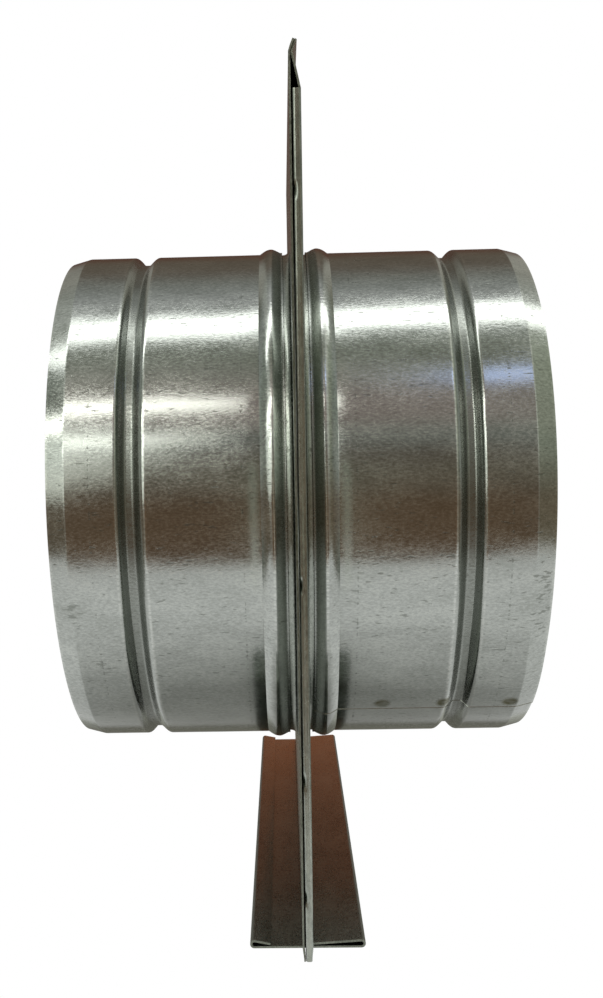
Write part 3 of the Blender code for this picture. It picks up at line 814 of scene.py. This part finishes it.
# the tent glows: its tones are painted light that only the metal sees
tent = {
    "turnSpan": (-60, 240),         # degrees about X from the camera's side over the top
    # the tone at each turn, and how much of the side tones shows there
    "turnTones": [
        (-60, "#5c5a50", 0.6), (-24, "#7b624d", 0.35), (2, "#7b624d", 0.22), (8, "#7d6e5f", 0.3),
        (15, "#7e7465", 0.45), (23, "#7d7167", 0.75), (30, "#939692", 0.95), (34, "#9f9f97", 1.0),
        (38, "#b4a5a0", 1.0), (49, "#b4a5a0", 1.0), (60, "#b9b6ad", 1.0), (65, "#a8a89e", 1.0),
        (69, "#9a9d91", 1.0), (73, "#9da094", 1.0), (78, "#abafa5", 1.0), (84, "#c8ccc6", 0.9),
        (104, "#cbcbcc", 0.6), (112, "#b4b6b4", 0.5), (121, "#93938d", 0.45),
        (128, "#837b73", 0.45), (135, "#7e7266", 0.45), (144, "#70665a", 0.45),
        (152, "#6a5a4c", 0.45), (160, "#5c3d31", 0.45), (172, "#5c3d31", 0.45),
        (190, "#6a5a4c", 0.5), (202, "#77766c", 0.5), (225, "#77766c", 0.5),
    ],
    "leanSpan": (-90, 90),          # degrees from left to right
    # the side tones, and how much of each covers the tone above
    "sideTones": [
        (-90, "#dfe2dc", 0.95), (-56, "#9aa399", 0.7), (-36, "#8d958b", 0.8),
        (-31, "#e6e9e0", 0.9), (-18, "#e6e9e0", 0.8), (-13, "#b0b4ac", 0.0), (13, "#b0b4ac", 0.0),
        (18, "#f4f5ea", 0.9), (27, "#f4f5ea", 0.9), (34, "#c4cbb6", 0.8), (45, "#aeb5a2", 0.8),
        (54, "#9aa399", 0.7), (90, "#dfe2dc", 0.95),
    ],
}

# a narrow glowing card behind the camera, which the casing's near edge mirrors: its tones by height
# are painted light for that edge
edgeCard = {
    "left": -7,
    "right": 16,
    "foot": -290,
    "top": 150,
    "away": 430,
    "tones": [(-290, "#fbfdf5"), (-120, "#fbfdf5"), (-50, "#cdd3c4"), (150, "#c0c7b6")],
}


def stagePiece(name, bm, material):
    mesh = bpy.data.meshes.new(name)
    bm.to_mesh(mesh)
    bm.free()
    mesh.materials.append(material)
    piece = bpy.data.objects.new(name, mesh)
    bpy.context.scene.collection.objects.link(piece)
    return piece


def onlyMirrored(piece):
    # seen by nothing but the zinc, and neither lights nor shades the damper
    piece.visible_camera = False
    piece.visible_shadow = False
    piece.visible_diffuse = False


def glowInstead(tree, shader, colour):
    tree.nodes.remove(shader)
    glow = addNode(tree, "ShaderNodeEmission", {"Color": colour, "Strength": 1.0})
    tree.links.new(glow.outputs[0], tree.nodes["Material Output"].inputs["Surface"])


def seenRays(tree):
    # 1 for rays from the camera, also by way of metal or glass
    path = addNode(tree, "ShaderNodeLightPath")
    direct = addNode(tree, "ShaderNodeMath", {
        0: path.outputs["Is Camera Ray"], 1: path.outputs["Is Glossy Ray"]}, operation="MAXIMUM")
    return addNode(tree, "ShaderNodeMath", {
        0: direct.outputs[0], 1: path.outputs["Is Transmission Ray"]},
        operation="MAXIMUM").outputs[0]


def palePaper():
    # matt paper roll: shows plain white far from the damper, and keeps its shadow below it
    material, tree, shader = newMaterial("palePaper")
    shader.inputs["Base Color"].default_value = fromHex(studio["paper"])
    shader.inputs["Roughness"].default_value = studio["paperRoughness"]
    shader.inputs["Specular IOR Level"].default_value = 0.0
    white = addNode(tree, "ShaderNodeEmission", {"Color": fromHex("#ffffff"), "Strength": 1.0})
    place = addNode(tree, "ShaderNodeTexCoord").outputs["Object"]
    narrowed = addNode(tree, "ShaderNodeMapping", {
        "Vector": place, "Scale": (studio["shadowNarrow"], 1.0, 1.0)})
    away = addNode(tree, "ShaderNodeVectorMath", {
        0: narrowed.outputs[0], 1: [c * mm for c in studio["shadowCentre"]]},
        operation="DISTANCE")
    near, far = studio["shadowFade"]
    fade = addNode(tree, "ShaderNodeMapRange", {
        "Value": away.outputs["Value"], "From Min": near * mm, "From Max": far * mm})
    share = addNode(tree, "ShaderNodeMath", {0: seenRays(tree), 1: fade.outputs[0]},
                    operation="MULTIPLY")
    mixed = addNode(tree, "ShaderNodeMixShader", {
        "Fac": share.outputs[0], 1: shader.outputs[0], 2: white.outputs[0]})
    tree.links.new(mixed.outputs[0], tree.nodes["Material Output"].inputs["Surface"])
    return material


def makeFloor():
    bm = bmesh.new()
    bm.faces.new([addVert(bm, x, y, 0) for x, y in studio["floorOutline"]])
    floor = stagePiece("floor", bm, palePaper())
    floor.location.z = -studio["floorDrop"] * mm


def glowingTent():
    # glowing tent round the set: its tones by height and side are painted light that the zinc
    # mirrors
    material, tree, shader = newMaterial("glowingTent")
    place = addNode(tree, "ShaderNodeTexCoord").outputs["Object"]
    parts = addNode(tree, "ShaderNodeSeparateXYZ", {0: place})
    x, y, z = (parts.outputs[name] for name in "XYZ")
    ahead = addNode(tree, "ShaderNodeMath", {0: y, 1: -1.0}, operation="MULTIPLY")
    turn = addNode(tree, "ShaderNodeMath", {0: z, 1: ahead.outputs[0]}, operation="ARCTAN2")
    # ARCTAN2 ends at 180 degrees, so what lies behind and below is lifted by a whole turn
    low = addNode(tree, "ShaderNodeMath", {0: turn.outputs[0], 1: math.radians(-90)},
                  operation="LESS_THAN")
    lifted = addNode(tree, "ShaderNodeMath", {0: low.outputs[0], 1: math.tau, 2: turn.outputs[0]},
                     operation="MULTIPLY_ADD")
    first, last = tent["turnSpan"]
    turnShare = addNode(tree, "ShaderNodeMapRange", {
        "Value": lifted.outputs[0], "From Min": math.radians(first),
        "From Max": math.radians(last)})
    heights = addNode(tree, "ShaderNodeValToRGB", {"Fac": turnShare.outputs[0]})
    setRamp(heights, tent["turnTones"], first, last)

    square = addNode(tree, "ShaderNodeMath", {0: y, 1: y}, operation="MULTIPLY")
    square = addNode(tree, "ShaderNodeMath", {0: z, 1: z, 2: square.outputs[0]},
                     operation="MULTIPLY_ADD")
    outward = addNode(tree, "ShaderNodeMath", {0: square.outputs[0]}, operation="SQRT")
    lean = addNode(tree, "ShaderNodeMath", {0: x, 1: outward.outputs[0]}, operation="ARCTAN2")
    left, right = tent["leanSpan"]
    leanShare = addNode(tree, "ShaderNodeMapRange", {
        "Value": lean.outputs[0], "From Min": math.radians(left), "From Max": math.radians(right)})
    sides = addNode(tree, "ShaderNodeValToRGB", {"Fac": leanShare.outputs[0]})
    setRamp(sides, tent["sideTones"], left, right)

    cover = addNode(tree, "ShaderNodeMath", {
        0: sides.outputs["Alpha"], 1: heights.outputs["Alpha"]}, operation="MULTIPLY")
    both = addNode(tree, "ShaderNodeMix", {
        "Factor": cover.outputs[0], "A": heights.outputs["Color"], "B": sides.outputs["Color"]},
        data_type="RGBA")
    glowInstead(tree, shader, both.outputs["Result"])
    return material


def makeTent():
    bm = bmesh.new()
    bmesh.ops.create_uvsphere(bm, u_segments=64, v_segments=32, radius=studio["tentRadius"] * mm)
    bmesh.ops.reverse_faces(bm, faces=bm.faces)
    onlyMirrored(stagePiece("tent", bm, glowingTent()))


def glowingEdgeCard():
    # glowing card, white at the foot and grey above: painted light that gives the near edge its
    # lighter lower half
    material, tree, shader = newMaterial("glowingEdgeCard")
    place = addNode(tree, "ShaderNodeTexCoord").outputs["Object"]
    parts = addNode(tree, "ShaderNodeSeparateXYZ", {0: place})
    foot, top = edgeCard["foot"], edgeCard["top"]
    share = addNode(tree, "ShaderNodeMapRange", {
        "Value": parts.outputs["Z"], "From Min": foot * mm, "From Max": top * mm})
    tones = addNode(tree, "ShaderNodeValToRGB", {"Fac": share.outputs[0]})
    setRamp(tones, edgeCard["tones"], foot, top)
    glowInstead(tree, shader, tones.outputs["Color"])
    return material


def makeEdgeCard():
    left, right = edgeCard["left"], edgeCard["right"]
    foot, top = edgeCard["foot"], edgeCard["top"]
    bm = bmesh.new()
    bm.faces.new([addVert(bm, x, -edgeCard["away"], z)
                  for x, z in ((left, foot), (right, foot), (right, top), (left, top))])
    onlyMirrored(stagePiece("edgeCard", bm, glowingEdgeCard()))


def addLamp(name, settings):
    lamp = bpy.data.lights.new(name, "AREA")
    lamp.shape = settings["shape"]
    lamp.size, lamp.size_y = (side * mm for side in settings["size"])
    area = lamp.size * lamp.size_y * (math.pi / 4 if lamp.shape == "ELLIPSE" else 1)
    lamp.energy = settings["glow"] * math.pi * area
    lamp.color = fromHex(settings["colour"])[:3]
    rise, lean = math.radians(settings["elevation"]), math.radians(settings["lean"])
    outward = Vector((math.sin(lean), -math.cos(lean) * math.cos(rise),
                      math.cos(lean) * math.sin(rise)))
    side = (Vector((1, 0, 0)) - outward * outward.x).normalized()
    facing = Matrix((side, outward.cross(side), outward)).transposed().to_4x4()
    place = Vector(studio["tubeFront"]) + outward * settings["distance"]
    holder = bpy.data.objects.new(name, lamp)
    holder.matrix_world = (Matrix.Translation(place * mm) @ facing
                           @ Matrix.Rotation(math.radians(settings["turn"]), 4, "Z"))
    bpy.context.scene.collection.objects.link(holder)
    holder.visible_camera = False


def makeWorld():
    # white where it is seen, dimmer where it lights the damper
    world = bpy.data.worlds.new("softWhite")
    bpy.context.scene.world = world
    world.use_nodes = True
    tree = world.node_tree
    tree.nodes.clear()
    light = addNode(tree, "ShaderNodeBackground", {
        "Color": fromHex("#ffffff"), "Strength": studio["worldLight"]})
    white = addNode(tree, "ShaderNodeBackground", {"Color": fromHex("#ffffff"), "Strength": 1.0})
    mixed = addNode(tree, "ShaderNodeMixShader", {
        "Fac": seenRays(tree), 1: light.outputs[0], 2: white.outputs[0]})
    addNode(tree, "ShaderNodeOutputWorld", {"Surface": mixed.outputs[0]})


makeFloor()
makeTent()
makeEdgeCard()
for lampName, lampSettings in studio["lamps"].items():
    addLamp(lampName, lampSettings)
makeWorld()

# camera: in front of the casing's near edge, a little above the duct's axis, looking down

view = {
    "place": (-4.03, -399.43, 33.93),
    "turn": 1.821,            # degrees
    "tilt": -9.375,
    "roll": -1.312,
    "focalPixels": 1168.6,
    "centre": (250.3, 589.5),     # where the optical axis meets the photograph, in pixels
    "frame": (603, 998),
    "sensor": 36.0,
    "clip": (10, 20000),
}


def makeCamera():
    data = bpy.data.cameras.new("camera")
    width, height = view["frame"]
    longSide = max(width, height)
    data.sensor_width = view["sensor"]
    data.lens = view["focalPixels"] / longSide * view["sensor"]
    data.shift_x = (width / 2 - view["centre"][0]) / longSide
    data.shift_y = (view["centre"][1] - height / 2) / longSide
    data.clip_start, data.clip_end = (distance * mm for distance in view["clip"])
    holder = bpy.data.objects.new("camera", data)
    turned = Matrix.Rotation(math.radians(view["turn"]), 4, "Z")
    tilted = Matrix.Rotation(math.radians(90 + view["tilt"]), 4, "X")
    rolled = Matrix.Rotation(math.radians(view["roll"]), 4, "Z")
    holder.matrix_world = (Matrix.Translation(Vector(view["place"]) * mm)
                           @ turned @ tilted @ rolled)
    bpy.context.scene.collection.objects.link(holder)
    bpy.context.scene.camera = holder


makeCamera()
bpy.context.scene.view_settings.view_transform = "Standard"
print("studio ready")
